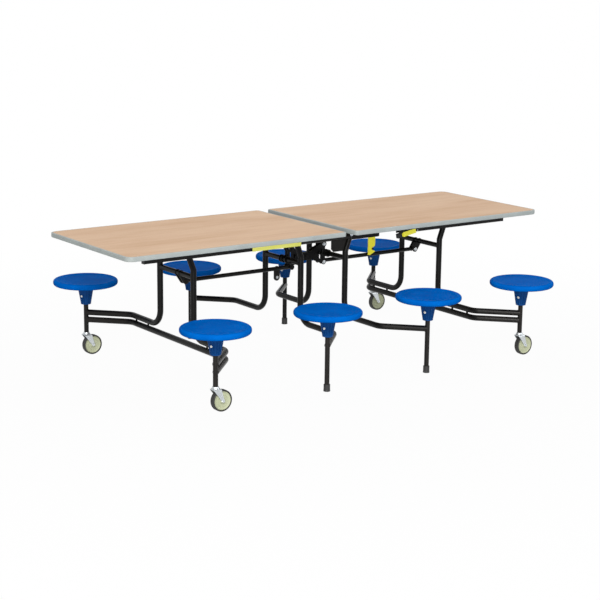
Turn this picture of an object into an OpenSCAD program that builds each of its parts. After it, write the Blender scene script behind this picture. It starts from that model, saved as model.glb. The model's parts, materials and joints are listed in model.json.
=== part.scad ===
// Mobile folding table with eight swivel seats.
// The long direction is x, the seats stand along y, and z is up from the floor.
// The right half is drawn. The left half is the same half turned 180 degrees about z.

/* [Table top] */
// length over both halves
top_length = 2440; // [2240:1:2600]
// width across the table
top_width = 760; // [720:1:790]
// height of the writing surface
top_height = 690; // [680:1:730]
// board with its laminate
board_t = 22; // [18:0.5:28]
// width of the edging on the surface
edging_w = 8; // [5:0.5:10]
// gap between the two halves
seam_gap = 55; // [46:1:64]
// corner radius at the outer ends
end_corner_r = 38; // [25:1:90]
// corner radius at the seam
seam_corner_r = 16; // [12:1:40]

/* [Leg frames] */
// middle to the plane of an inner frame
inner_frame_x = 135.5; // [130:0.5:150]
// inner frame to outer frame
frame_spacing = 612.5; // [580:0.5:640]
// middle line to a leg
leg_y = 152; // [145:1:165]
// bent leg tube
leg_d = 29; // [26:0.5:30]
// wall of the leg, arm and post tubes
tube_wall = 2; // [1.5:0.1:2.5]
// height of the upper seat arm
arm_z = 219; // [215:1:235]
// height of the lower arm of an outer frame
low_arm_z = 182; // [170:1:184]
// lower arm tube
low_arm_d = 29; // [22:0.5:30]
// bend from leg to arm
corner_bend_r = 80; // [70:1:90]
// bend where an arm turns out to its post
arm_bend_r = 60; // [50:1:80]
// middle line to the bend of an arm
arm_bend_y = 431; // [420:1:445]
// middle line to the inner and the outer web of the two arms
web_y = [270, 385]; // [250:1:400]
// crossbar between the legs
crossbar_d = 25; // [22:0.5:26]
// crossbar below the pivots of the top
crossbar_drop = 119; // [105:1:125]

/* [Seats] */
// frame plane to the seat post
post_offset = 165.5; // [160:0.5:175]
// middle line to the seat post
post_y = 601; // [595:1:640]
// seat post tube
post_d = 23.5; // [20:0.5:26]
// seat disc
seat_d = 320; // [300:1:340]
// height of the sitting surface
seat_height = 389; // [380:1:402]
// depth of the seat rim
seat_t = 30; // [26:0.5:34]
// rounding of the seat rim
rim_r = 12; // [8:0.5:13]
// skin of the moulded seat
seat_skin = 4.5; // [3:0.5:6]
// ribs under the seat
seat_ribs = 12; // [8:1:16]
// bottom of the seat hub
hub_z = 262; // [255:1:270]
// hub at its bottom
hub_low_d = 51; // [46:1:56]
// hub under the seat
hub_top_d = 86; // [76:1:96]

/* [Folding gear] */
// pivots of the top, outboard of the leg plane
pivot_offset = 22; // [20:0.5:26]
// pivots below the underside of the board
pivot_drop = 38; // [36:0.5:42]
// link tube below the crossbar
link_drop = 41; // [37:1:49]
// link pivots inboard of the leg plane
link_inset = 27.5; // [26:0.5:32]
// middle line to the link tube
link_y = 25; // [24:0.5:28]
// link tube
link_d = 20; // [18:0.5:22]
// pivot bolts
bolt_d = 10; // [8:0.5:12]
// steel plate of the hinges
plate_t = 5; // [4:0.5:6]
// running gap round a pivot bolt
bolt_gap = 0.4; // [0.3:0.05:0.6]
// side gap between a tube and its bracket
side_gap = 1; // [0.6:0.1:1.5]

/* [Rails] */
// middle line to a rail
rail_y = 260; // [250:1:280]
// rail channel width
rail_w = 25; // [23:0.5:30]
// rail channel depth
rail_h = 40; // [34:0.5:41]
// wall of the rail channel
rail_t = 2.5; // [2:0.1:3]
// middle to the outer end of the rails
rail_end_x = 1075; // [1040:1:1090]
// middle to the inner end of the long rail
rail_start_x = 222; // [215:1:240]
// middle to the inner end of the short rail
short_rail_x = 378; // [365:1:390]
// length of the yellow rail sleeve
sleeve_l = 278; // [240:1:300]
// droop of the release handle
handle_droop = 10; // [8:0.5:11]

/* [Casters] */
// caster wheel
wheel_d = 100; // [90:1:104]
// wheel width
wheel_w = 28; // [24:0.5:32]
// rubber tread thickness
tread_t = 7; // [5:0.5:10]
// axle behind the swivel
trail = 30; // [26:0.5:34]
// rubber foot height
foot_h = 34; // [30:1:40]
// rubber foot at the floor
foot_d = 33; // [30:0.5:38]

/* [Hidden] */
$fn = 64;
leg_r = leg_d / 2;
post_r = post_d / 2;
underside = top_height - board_t;
outer_x = inner_frame_x + frame_spacing;
pivot_z = underside - pivot_drop;
crossbar_z = pivot_z - crossbar_drop;
link_z = crossbar_z - link_drop;
inner_pivot_x = inner_frame_x + pivot_offset;
outer_pivot_x = outer_x + pivot_offset;
inner_link_x = inner_frame_x - link_inset;
outer_link_x = outer_x - link_inset;
leg_top_z = pivot_z + 17;
leg_kink_z = pivot_z - 25;
leg_straight_z = leg_kink_z - 60;
laminate_t = 1;
vent_r = 3;
web_t = 4;
web_w = 12;
fit = 0.05;
seat_gap = 0.5;
bush_h = 10;
post_top_z = seat_height - 47;
caster_gap = 0.6;
race_h = 8;
fork_t = 3;
fork_eye = 8;
fork_plate_z = wheel_d + 3.5;
fork_top_z = fork_plate_z + fork_t + 3;
post_low_z = fork_top_z + caster_gap + race_h;
axle_d = 8;
bracket_t = 4;
bracket_half = leg_r + side_gap;
bracket_foot = 30;
plate_in = link_y - 12.5;
plate_out = link_y + 12.5;
upper_bolt_z = crossbar_z + 50;
latch_z = pivot_z - 66;
latch_end_x = inner_pivot_x + 311;
latch_tab_x = inner_pivot_x + 142.5;
latch_screw_step = 55;
stud_x = inner_pivot_x + 275;
stud_z = link_z + 32;
lug_x = inner_link_x + 81;
lug_z = link_z - 44;
hook_pivot = [stud_x - 8, stud_z + 96];
hook_t = 5;
handle_pivot_x = short_rail_x + 120;
handle_h = 20;
handle_w = rail_w - 2 * rail_t - 6;
black = [0.1, 0.1, 0.11];
blue = [0.03, 0.25, 0.62];
grey = [0.62, 0.65, 0.66];
beech = [0.85, 0.7, 0.54];
zinc = [0.8, 0.8, 0.82];
yellow = [0.95, 0.88, 0.1];
cream = [0.78, 0.79, 0.62];

// sub-part to draw

// Helpers ------------------------------------------------------------------

function unit(v) = v / norm(v);

// round bar from a to b
module bar(a, b, r) {
  v = b - a;
  translate(a) rotate([0, acos(v.z / norm(v)), atan2(v.y, v.x)]) cylinder(h = norm(v), r = r);
}

// bent round bar through a list of points, one bend radius per inner point, 0 for a slight kink
module bent_bar(points, bends, r) {
  last = len(points) - 1;
  ways = [for (i = [0:last - 1]) unit(points[i + 1] - points[i])];
  turns = [for (i = [0:last]) i == 0 || i == last ? 0 : acos(ways[i - 1] * ways[i])];
  cuts = [for (i = [0:last]) i == 0 || i == last ? 0 : bends[i - 1] * tan(turns[i] / 2)];
  for (i = [0:last - 1]) {
    // collars inside the wall carry the run across both ends of a bend
    if (i > 0 && bends[i - 1] > 0) for (w = [-ways[i - 1], ways[i]]) {
      p = points[i] + w * cuts[i];
      bar(p - w, p + w, r - 1);
    }
    bar(points[i] + ways[i] * cuts[i], points[i + 1] - ways[i] * cuts[i + 1], r);
    if (i > 0 && bends[i - 1] == 0) translate(points[i]) sphere(r + fit);
    if (i > 0 && bends[i - 1] > 0) {
      u = ways[i - 1];
      n = unit(ways[i] - u * (u * ways[i]));
      c = points[i] - u * cuts[i] + n * bends[i - 1];
      z = cross(-n, u);
      multmatrix([[-n.x, u.x, z.x, c.x], [-n.y, u.y, z.y, c.y], [-n.z, u.z, z.z, c.z], [0, 0, 0, 1]])
        rotate_extrude(angle = turns[i]) translate([bends[i - 1], 0]) circle(r);
    }
  }
}

// flat plate in the xz plane between y and y + t
module plate_xz(y, t) {
  translate([0, y + t, 0]) rotate([90, 0, 0]) linear_extrude(t) children();
}

// pin along y
module pin_y(x, z, y, l, r) {
  translate([x, y, z]) rotate([-90, 0, 0]) cylinder(h = l, r = r);
}

// bar with round ends, flat in the drawing plane
module strap(a, b, w) {
  v = b - a;
  for (p = [a, b]) translate(p) circle(w / 2);
  translate(a) rotate(atan2(v.y, v.x)) translate([0, -w / 2]) square([norm(v), w]);
}

// copies a child on both sides of the middle line
module both_sides() {
  for (s = [-1, 1]) scale_y(s) children();
}
module scale_y(s) {
  if (s < 0) mirror([0, 1, 0]) children();
  else children();
}

module turned() {
  rotate([0, 0, 180]) children();
}

// bolt along y with a head at each end of its grip
module bolt(x, z, y, grip, head = 4, r = bolt_d / 2) {
  pin_y(x, z, y - head, grip + 2 * head, r - fit);
  for (end = [y - head, y + grip]) pin_y(x, z, end, head, r * 1.8);
}

// Table top ----------------------------------------------------------------

// plan of one half, drawn in by a margin
module half_plan(inset) {
  x0 = seam_gap / 2 + inset;
  x1 = top_length / 2 - inset;
  w = top_width / 2 - inset;
  ro = end_corner_r - inset;
  ri = seam_corner_r - inset;
  difference() {
    translate([x0, -w]) square([x1 - x0, 2 * w]);
    for (s = [-1, 1]) {
      difference() {
        translate([x1 - ro, s * w - (s > 0 ? ro : 0)]) square([ro + 1, ro]);
        translate([x1 - ro, s * (w - ro)]) circle(ro);
      }
      difference() {
        translate([x0 - 1, s * w - (s > 0 ? ri : 0)]) square([ri + 1, ri]);
        translate([x0 + ri, s * (w - ri)]) circle(ri);
      }
    }
  }
}

function bracket_spots() = [for (x = [inner_pivot_x, outer_pivot_x], s = [-1, 1]) [x, s * leg_y]];
function bracket_screws() = [for (p = bracket_spots(), i = [-1, 1], j = [-1, 1])
  p + [i * 13, j * (bracket_foot - 5.5)]];
function latch_screws() = [for (i = [0:2]) [latch_tab_x + 30 + i * latch_screw_step, 16]];

module top_board() {
  color(beech) difference() {
    translate([0, 0, underside]) linear_extrude(board_t - laminate_t) half_plan(edging_w);
    for (p = concat(bracket_screws(), latch_screws()))
      translate([p.x, p.y, underside - 1]) cylinder(h = 13, r = 2.5);
  }
}

// beech laminate on the board, flush with the edging
module top_laminate() {
  color(beech) translate([0, 0, top_height - laminate_t]) linear_extrude(laminate_t) half_plan(edging_w);
}

// edging with its top and bottom edges taken off
module top_edging() {
  color(grey) difference() {
    union() {
      translate([0, 0, underside]) linear_extrude(1.2) half_plan(1.2);
      translate([0, 0, underside + 1.2]) linear_extrude(board_t - 2.4) half_plan(0);
      translate([0, 0, top_height - 1.2]) linear_extrude(1.2) half_plan(1.2);
    }
    translate([0, 0, underside - 1]) linear_extrude(board_t + 2) half_plan(edging_w);
  }
}

module rail(x0, x1, y) {
  difference() {
    translate([x0, y - rail_w / 2, underside - rail_h]) cube([x1 - x0, rail_w, rail_h]);
    translate([x0 - 1, y - rail_w / 2 + rail_t, underside - rail_h - 1])
      cube([x1 - x0 + 2, rail_w - 2 * rail_t, rail_h - rail_t + 1]);
  }
}

module rails() {
  color(black) {
    rail(rail_start_x, rail_end_x, rail_y);
    difference() {
      rail(short_rail_x, rail_end_x, -rail_y);
      pin_y(handle_pivot_x, handle_z(), -rail_y - rail_w, 2 * rail_w, 3 + fit);
    }
  }
}
function handle_z() = underside - rail_h + 6;

// plugs that close the outer ends of the rails
module rail_caps() {
  color(black) for (s = [-1, 1]) translate([rail_end_x, s * rail_y, 0]) {
    translate([0, -rail_w / 2 - 0.6, underside - rail_h - 0.8]) cube([4, rail_w + 1.2, rail_h + 0.4]);
    translate([-18, -rail_w / 2 + rail_t + fit, underside - rail_h + 1])
      cube([18, rail_w - 2 * (rail_t + fit), rail_h - rail_t - 1 - fit]);
  }
}

// yellow sleeve over the inner part of the long rail
module rail_sleeve() {
  wall = 1.8;
  color(yellow) translate([rail_start_x, rail_y, 0]) difference() {
    translate([0, -rail_w / 2 - wall - fit, underside - rail_h - wall])
      cube([sleeve_l, rail_w + 2 * (wall + fit), rail_h + wall - 0.4]);
    translate([-1, -rail_w / 2 - fit, underside - rail_h])
      cube([sleeve_l + 2, rail_w + 2 * fit, rail_h + 1]);
  }
}

// hinge bracket on the underside, with one cheek on each side of a leg
module pivot_bracket(x, y) {
  difference() {
    union() {
      translate([x - 22, y - bracket_foot, underside - bracket_t])
        cube([44, 2 * bracket_foot, bracket_t]);
      for (s = [-1, 1]) plate_xz(y + (s > 0 ? bracket_half : -bracket_half - bracket_t), bracket_t)
        difference() {
          union() {
            translate([x, pivot_z]) circle(13);
            polygon([[x - 13, pivot_z], [x + 13, pivot_z],
              [x + 20, underside - bracket_t], [x - 20, underside - bracket_t]]);
          }
          translate([x, pivot_z]) circle(bolt_d / 2 + bolt_gap);
        }
    }
    for (i = [-1, 1], j = [-1, 1])
      translate([x + i * 13, y + j * (bracket_foot - 5.5), underside - bracket_t - 1])
        cylinder(h = bracket_t + 2, r = 2.5);
  }
}

module pivot_brackets() {
  color(black) for (p = bracket_spots()) pivot_bracket(p.x, p.y);
}

// pan head screws into the board, and the pin of the release handle
module board_screws() {
  color(zinc) {
    for (p = bracket_screws()) board_screw(p, underside - bracket_t);
    pin_y(handle_pivot_x, handle_z(), -rail_y - rail_w / 2 - 1.5, rail_w + 3, 3);
  }
}
module right_board_screws() {
  board_screws();
  latch_bolts();
}
module board_screw(p, z) {
  translate([p.x, p.y, z - 2.6]) cylinder(h = 2.6, r1 = 3, r2 = 4.2);
  translate([p.x, p.y, z]) cylinder(h = underside + 11 - z, r = 2.5 - fit);
}

// Release handle -----------------------------------------------------------

// places a handle drawn along -x from its pin
module at_handle() {
  translate([handle_pivot_x, -rail_y, handle_z()]) rotate([0, -handle_droop, 0]) children();
}

module release_handle() {
  color(yellow) at_handle() difference() {
    union() {
      translate([-96, -handle_w / 2, -handle_h / 2]) cube([90, handle_w, handle_h]);
      pin_y(0, 0, -handle_w / 2, handle_w, 6);
      translate([-8, -handle_w / 2, -6]) cube([8, handle_w, 12]);
    }
    pin_y(0, 0, -rail_w, 2 * rail_w, 3 + bolt_gap);
  }
}

// black grip on the free end of the handle
module handle_tip() {
  color(black) at_handle() difference() {
    translate([-124, -handle_w / 2 - 1, -handle_h / 2 - 1]) cube([28, handle_w + 2, handle_h + 2]);
    for (s = [-1, 1]) translate([-118, s * (handle_w / 2 + 1.6), -handle_h])
      cylinder(h = 2 * handle_h, r = 1.2);
  }
}

// Latch --------------------------------------------------------------------

// plate that hangs from the right half and carries the hook
module latch_bracket() {
  color(black) difference() {
    union() {
      plate_xz(-plate_t / 2, plate_t) difference() {
        union() {
          translate([inner_pivot_x, latch_z]) square([latch_end_x - inner_pivot_x - 6, underside - latch_z]);
          translate([latch_end_x - 20, latch_z + 6]) square([20, underside - latch_z - 6]);
          translate([latch_end_x - 6, latch_z + 6]) circle(6);
        }
        translate([inner_pivot_x, pivot_z]) circle(latch_clear());
        translate([inner_pivot_x - 1, latch_z - 1]) square([100, underside - latch_z + 2]);
        translate([hook_pivot.x, hook_pivot.y]) circle(4 + fit);
      }
      translate([latch_tab_x, plate_t / 2, underside - 3]) cube([latch_end_x - 6 - latch_tab_x, 24, 3]);
    }
    for (p = latch_screws()) translate([p.x, p.y, underside - 4]) cylinder(h = 5, r = 2.5);
  }
}
// the crossbar swings past the plate with this radius about the pivot
function latch_clear() = norm([pivot_offset, pivot_z - crossbar_z]) + crossbar_d / 2 + 4;

// bolt of the hook, and the screws of its bracket
module latch_bolts() {
  color(zinc) {
    bolt(hook_pivot.x, hook_pivot.y, -plate_t / 2, plate_t + hook_t + 2, head = 3, r = 4);
    for (p = latch_screws()) board_screw(p, underside - 3);
  }
}

// hook plate with a notch that takes the stud of the link tube
module latch_hook() {
  x = stud_x;
  z = stud_z;
  color(yellow) plate_xz(plate_t / 2 + 1, hook_t) difference() {
    union() {
      translate(hook_pivot) circle(22);
      polygon([[x - 29, z + 94], [x - 30, z - 30], [x - 18, z - 32], [x + 13, z - 18], [x + 14, z - 13],
        [x - 1, z - 7.5], [x - 6, z - 4], [x - 7, z + 2], [x - 2, z + 7], [x + 13, z + 13],
        [x + 16, z + 26], [x + 13, z + 94], [x + 4, z + 104], [x - 20, z + 104]]);
    }
    translate(hook_pivot) circle(4 + bolt_gap);
  }
}

// Links --------------------------------------------------------------------

// tube from the centre plates to the outer frame, with an eye at each end
module link(with_stud) {
  eye_r = bolt_d / 2 + 5;
  color(black) difference() {
    union() {
      bar([inner_link_x + eye_r - 2, link_y, link_z], [outer_link_x - eye_r + 2, link_y, link_z], link_d / 2);
      for (x = [inner_link_x, outer_link_x]) pin_y(x, link_z, link_y - 11, 22, eye_r);
      if (with_stud) {
        // stud for the latch hook
        plate_xz(link_y - 9, 6) strap([stud_x, link_z], [stud_x, stud_z], 16);
        pin_y(stud_x, stud_z, plate_t / 2 - 0.5, link_y - 6 - plate_t / 2, 5);
      }
      // hanging lug with its bolt hole
      else plate_xz(link_y - 3, 6) strap([lug_x, link_z - 4], [lug_x, lug_z], 33);
    }
    if (!with_stud) pin_y(lug_x, lug_z, 0, 2 * link_y, 4 + fit);
    bar([inner_link_x + eye_r + 1, link_y, link_z], [outer_link_x - eye_r - 1, link_y, link_z],
      link_d / 2 - 1.6);
    bar([inner_link_x, link_y, link_z], [outer_link_x, link_y, link_z], vent_r);
    for (x = [inner_link_x, outer_link_x]) pin_y(x, link_z, link_y - 20, 40, bolt_d / 2 + bolt_gap);
  }
}

module link_lug_bolt() {
  color(zinc) bolt(lug_x, lug_z, link_y - 3, 6, head = 4, r = 4);
}

// Leg frames ---------------------------------------------------------------

// points of one bent side tube, from its pivot down to its seat post
function side_run(fx, top_x, end_cut = 0) = [
  [top_x, leg_y, leg_top_z], [top_x, leg_y, leg_kink_z], [fx, leg_y, leg_straight_z],
  [fx, leg_y, arm_z], [fx, arm_bend_y, arm_z],
  post_spot(fx, arm_z) - end_cut * unit(post_spot(fx, arm_z) - [fx, arm_bend_y, arm_z])];
function post_spot(fx, z) = [fx + post_offset, post_y, z];
side_bends = [0, 0, corner_bend_r, arm_bend_r];

// points of half the lower arm of an outer frame, from the middle line to its post
function low_run(fx, end_cut) = [[fx, 0, low_arm_z], [fx, arm_bend_y, low_arm_z],
  post_spot(fx, low_arm_z) - end_cut * unit([post_offset, post_y - arm_bend_y, 0])];

module frame_solid(fx, top_x, post_low) {
  both_sides() {
    bent_bar(side_run(fx, top_x), side_bends, leg_r);
    translate([fx + post_offset, post_y, post_low]) cylinder(h = post_top_z - post_low, r = post_r);
  }
  bar([fx, -leg_y, crossbar_z], [fx, leg_y, crossbar_z], crossbar_d / 2);
}

module frame_bores(fx, top_x, post_low) {
  both_sides() {
    bent_bar(side_run(fx, top_x, post_r + 1), side_bends, leg_r - tube_wall);
    translate([fx + post_offset, post_y, post_low - 1])
      cylinder(h = post_top_z - post_low + 2, r = post_r - tube_wall);
    pin_y(top_x, pivot_z, leg_y - leg_d, 2 * leg_d, bolt_d / 2);
  }
  bar([fx, -leg_y + leg_r + 1, crossbar_z], [fx, leg_y - leg_r - 1, crossbar_z], crossbar_d / 2 - tube_wall);
  // weld vents into the legs
  bar([fx, -leg_y, crossbar_z], [fx, leg_y, crossbar_z], vent_r);
}

// inner frame, one bent tube a side, standing on rubber feet
module inner_frame() {
  color(black) difference() {
    frame_solid(inner_frame_x, inner_pivot_x, 6);
    frame_bores(inner_frame_x, inner_pivot_x, 6);
  }
}

// outer frame on casters: the same bends further out, with the lugs of its link
module outer_frame() {
  color(black) translate([frame_spacing, 0, 0]) {
    difference() {
      union() {
        frame_solid(inner_frame_x, inner_pivot_x, post_low_z);
        for (y = [plate_in - plate_t, plate_out]) plate_xz(y, plate_t)
          strap([inner_frame_x, crossbar_z], [inner_link_x, link_z], 30);
      }
      frame_bores(inner_frame_x, inner_pivot_x, post_low_z);
      pin_y(inner_link_x, link_z, 0, 2 * link_y, bolt_d / 2);
    }
    lower_arm(inner_frame_x);
  }
}

// lower arm with its ends coped round the posts, and the webs up to the upper arms
module lower_arm(fx) {
  r = low_arm_d / 2;
  cope = 4;
  difference() {
    union() {
      both_sides() bent_bar(low_run(fx, cope), [arm_bend_r], r);
      bar([fx, -1, low_arm_z], [fx, 1, low_arm_z], r - 1);
      for (s = [-1, 1], y = web_y) translate([fx - web_t / 2, s * y - web_w / 2, low_arm_z + r - 1])
        cube([web_t, web_w, arm_z - leg_r - fit - low_arm_z - r + 1]);
    }
    both_sides() bent_bar(low_run(fx, cope - 1), [arm_bend_r], r - tube_wall);
    bar([fx, -1, low_arm_z], [fx, 1, low_arm_z], r - tube_wall);
    both_sides() translate(post_spot(fx, low_arm_z - low_arm_d))
      cylinder(h = 2 * low_arm_d, r = post_r + fit);
  }
}

// pivot bolts of the top, and the pin of the link
module outer_bolts() {
  color(zinc) {
    pivot_bolts(outer_pivot_x);
    bolt(outer_link_x, link_z, plate_in - plate_t, 25 + 2 * plate_t);
  }
}
module pivot_bolts(x) {
  reach = bracket_half + bracket_t + 0.6;
  for (s = [-1, 1]) bolt(x, pivot_z, s * leg_y - reach, 2 * reach);
}

// Centre gear --------------------------------------------------------------

// tubes that join the tops of the inner legs
module centre_side_bars() {
  z = pivot_z - 14;
  color(black) for (s = [-1, 1]) difference() {
    union() {
      bar([-inner_pivot_x, s * leg_y, z], [inner_pivot_x, s * leg_y, z], 12);
      // corner gusset on one end
      translate([0, s * leg_y - 2, 0]) rotate([0, 0, s > 0 ? 180 : 0]) translate([0, s > 0 ? -4 : 0, 0])
        plate_xz(0, 4) polygon([[48, z - 11], [inner_pivot_x, z - 11], [inner_frame_x, z - 68], [62, z - 68],
          [48, z - 54]]);
    }
    bar([-inner_pivot_x + 6, s * leg_y, z], [inner_pivot_x - 6, s * leg_y, z], 10);
    for (e = [-1, 1]) scale([e, 1, 1])
      bent_bar([[inner_pivot_x, s * leg_y, leg_top_z + 1], [inner_pivot_x, s * leg_y, leg_kink_z],
        [inner_frame_x, s * leg_y, leg_straight_z], [inner_frame_x, s * leg_y, leg_straight_z - 60]],
        [0, 0], leg_r);
  }
}

// outline of a plate round the crossbar, the link pin and the upper bolt, on one side
module clevis_outline() {
  difference() {
    union() {
      strap([inner_link_x, upper_bolt_z], [inner_link_x, link_z], 14);
      strap([inner_link_x, crossbar_z], [inner_frame_x, crossbar_z], 24);
      translate([inner_link_x, upper_bolt_z]) circle(15);
      translate([inner_link_x, link_z]) circle(13);
      translate([inner_frame_x, crossbar_z]) circle(crossbar_d / 2 + 6.5);
    }
    clevis_holes();
  }
}
module clevis_holes() {
  translate([inner_link_x, upper_bolt_z]) circle(bolt_d / 2);
  translate([inner_link_x, link_z]) circle(bolt_d / 2);
  translate([inner_frame_x, crossbar_z]) circle(crossbar_d / 2);
}

// outline of a main plate, from one crossbar to the other
module main_outline() {
  mid = [0, crossbar_z - 1];
  difference() {
    union() {
      strap([-48, mid.y], [48, mid.y], 40);
      for (s = [1, -1]) scale([s, 1]) {
        clevis_outline();
        strap([22, mid.y + 8], [inner_link_x, upper_bolt_z], 26);
        strap([26, mid.y - 9], [inner_link_x, link_z], 18);
      }
    }
    for (s = [1, -1]) scale([s, 1]) clevis_holes();
    translate(mid) circle(bolt_d / 2);
  }
}

// two long plates side by side, and a short one beyond each link
module centre_plates() {
  z = crossbar_z - 1;
  color(black) {
    for (side = [0, 180]) rotate([0, 0, side]) {
      plate_xz(plate_in - plate_t, plate_t) main_outline();
      plate_xz(plate_out, plate_t) clevis_outline();
    }
    difference() {
      pin_y(0, z, plate_t - plate_in, 2 * (plate_in - plate_t), 12);
      pin_y(0, z, -plate_in, 2 * plate_in, bolt_d / 2 + 1);
    }
  }
}

// bolts of the plates, the pins of both links, and the pivot bolts of the top
module centre_bolts() {
  color(zinc) {
    for (side = [0, 180]) rotate([0, 0, side]) {
      bolt(inner_link_x, upper_bolt_z, -plate_in, plate_in + plate_out + plate_t);
      bolt(inner_link_x, link_z, plate_in - plate_t, plate_out + 2 * plate_t - plate_in, head = 3);
      bolt(inner_link_x, link_z, -plate_in, plate_t, head = 3);
    }
    bolt(0, crossbar_z - 1, -plate_in, 2 * plate_in);
    for (x = [-inner_pivot_x, inner_pivot_x]) pivot_bolts(x);
  }
}

// rubber feet on the inner posts
module rubber_feet() {
  color(black) for (side = [0, 180]) rotate([0, 0, side]) both_sides()
    translate([inner_frame_x + post_offset, post_y, 0]) rotate_extrude() difference() {
      polygon([[0, 0], [foot_d / 2 - 1, 0], [foot_d / 2, 1.5], [foot_d / 2 - 1, 8],
        [post_r + 3.6, foot_h - 6], [post_r + 3.6, foot_h - 1], [post_r + 2.6, foot_h], [0, foot_h]]);
      translate([0, 6]) square([post_r + fit, foot_h]);
    }
}

// Seats --------------------------------------------------------------------

function seat_spot(n) = let (
  x = n == 1 || n == 4 || n == 5 || n == 8 ? outer_x : inner_frame_x,
  left = n == 1 || n == 2 || n == 5 || n == 6)
  [(left ? -1 : 1) * (x + post_offset), (n < 5 ? -1 : 1) * post_y, 0];

// moulded disc with a turned down rim and radial ribs
module seat_disc() {
  r = seat_d / 2;
  z0 = seat_height - seat_t;
  under = seat_height - seat_skin;
  rim_x = r - rim_r;
  rim_in = rim_r - seat_skin;
  rim_zs = [z0 + rim_r, seat_height - rim_r];
  // ribs end inside the wall of the rim
  rib_end = rim_x + min(rim_in + 0.5, sqrt(pow(rim_r - 0.5, 2) - pow(rim_in, 2)));
  rotate_extrude() difference() {
    union() {
      translate([0, z0]) square([rim_x, seat_t]);
      translate([0, rim_zs[0]]) square([r, rim_zs[1] - rim_zs[0]]);
      for (z = rim_zs) translate([rim_x, z]) circle(rim_r);
    }
    translate([0, z0 - 1]) square([rim_x, seat_t - seat_skin + 1]);
    translate([0, rim_zs[0]]) square([rim_x + rim_in, rim_zs[1] - rim_zs[0]]);
    for (z = rim_zs) translate([rim_x, z]) circle(rim_in);
  }
  for (i = [0:seat_ribs - 1]) rotate([0, 0, i * 360 / seat_ribs])
    translate([hub_top_d / 2 + 1.5, -1.5, under - 12]) cube([rib_end - hub_top_d / 2 - 1.5, 3, 12]);
  difference() {
    translate([0, 0, under - 12]) cylinder(h = 12, r = hub_top_d / 2 + 4);
    translate([0, 0, under - 13]) cylinder(h = 13, r = hub_top_d / 2 + fit);
  }
}

// tapered hub round a tube that turns on the post, open below and stiffened by webs
module seat_hub() {
  under = seat_height - seat_skin;
  low_r = hub_low_d / 2;
  top_r = hub_top_d / 2;
  tube_r = post_r + seat_gap + 3.5;
  difference() {
    rotate_extrude() polygon([[0, hub_z], [low_r - 1, hub_z], [low_r, hub_z + 1.5], [top_r, under - 22],
      [top_r, under], [0, under]]);
    difference() {
      rotate_extrude() polygon([[tube_r, hub_z - 1], [low_r - 4, hub_z - 1], [low_r - 4, hub_z + 1.5],
        [top_r - 4, under - 22], [top_r - 4, under - 4], [tube_r, under - 4]]);
      for (i = [0:2]) rotate([0, 0, i * 60 + 15]) translate([-top_r, -1.5, hub_z + 4])
        cube([2 * top_r, 3, under - hub_z]);
    }
    translate([0, 0, hub_z - 1]) cylinder(h = post_top_z + bush_h - hub_z + 1, r = post_r + seat_gap);
  }
}

module seat(n) {
  color(blue) translate(seat_spot(n)) {
    seat_disc();
    seat_hub();
  }
}

// nylon bushes in the tops of the posts, on which the seats turn
module seat_bush() {
  translate([0, 0, post_top_z]) cylinder(h = bush_h, r = post_r);
  translate([0, 0, post_top_z - 20]) cylinder(h = 20, r = post_r - tube_wall - fit);
}
module seat_bushes(list) {
  color([0.2, 0.2, 0.2]) for (n = list) translate(seat_spot(n)) seat_bush();
}

// Casters ------------------------------------------------------------------

function caster_spot(n) = seat_spot([1, 4, 5, 8][n - 1]);

// fixed stem in the post with the upper race
module caster_stem() {
  translate([0, 0, fork_top_z + caster_gap]) cylinder(h = race_h, r1 = 18, r2 = 14);
  translate([0, 0, post_low_z]) cylinder(h = 40, r = post_r - tube_wall - fit);
  translate([0, 0, fork_plate_z + fork_t])
    cylinder(h = fork_top_z + caster_gap - fork_plate_z - fork_t, r = 5);
}
module caster_stems(list) {
  color(zinc) for (n = list) translate(caster_spot(n)) caster_stem();
}

// swivel fork, trailing to +x, with its axle
module fork(n) {
  inside = wheel_w / 2 + 2;
  axle = [trail, wheel_d / 2];
  color(zinc) translate(caster_spot(n)) {
    difference() {
      union() {
        for (s = [-1, 1]) plate_xz(s > 0 ? inside : -inside - fork_t, fork_t) difference() {
          union() {
            translate(axle) circle(fork_eye);
            polygon([axle + fork_eye * [-0.96, -0.25], axle + fork_eye * [0.975, -0.167], [21, fork_plate_z],
              [-19, fork_plate_z], [-19, fork_plate_z - 7]]);
          }
          translate(axle) circle(axle_d / 2 + fit);
        }
        translate([-19, -inside - fork_t, fork_plate_z]) cube([40, 2 * (inside + fork_t), fork_t]);
        translate([0, 0, fork_plate_z + fork_t]) cylinder(h = fork_top_z - fork_plate_z - fork_t, r = 19);
      }
      translate([0, 0, fork_plate_z + fork_t]) cylinder(h = 20, r = 5 + bolt_gap);
    }
    bolt(trail, wheel_d / 2, -inside - fork_t, 2 * (inside + fork_t), head = 4, r = axle_d / 2);
  }
}

// wheel centre with a raised hub and a thin web
module wheel(n) {
  r = wheel_d / 2 - tread_t;
  w = wheel_w / 2;
  color(cream) at_wheel(n) rotate_extrude() difference() {
    polygon([[axle_d / 2 + bolt_gap, -w - 0.6], [14, -w - 0.6], [16, -w + 3], [24, -w + 4.5], [r - 7, -w + 4],
      [r - 4, -w + 1], [r, -w + 1], [r, w - 1], [r - 4, w - 1], [r - 7, w - 4], [24, w - 4.5], [16, w - 3],
      [14, w + 0.6], [axle_d / 2 + bolt_gap, w + 0.6]]);
  }
}

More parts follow.
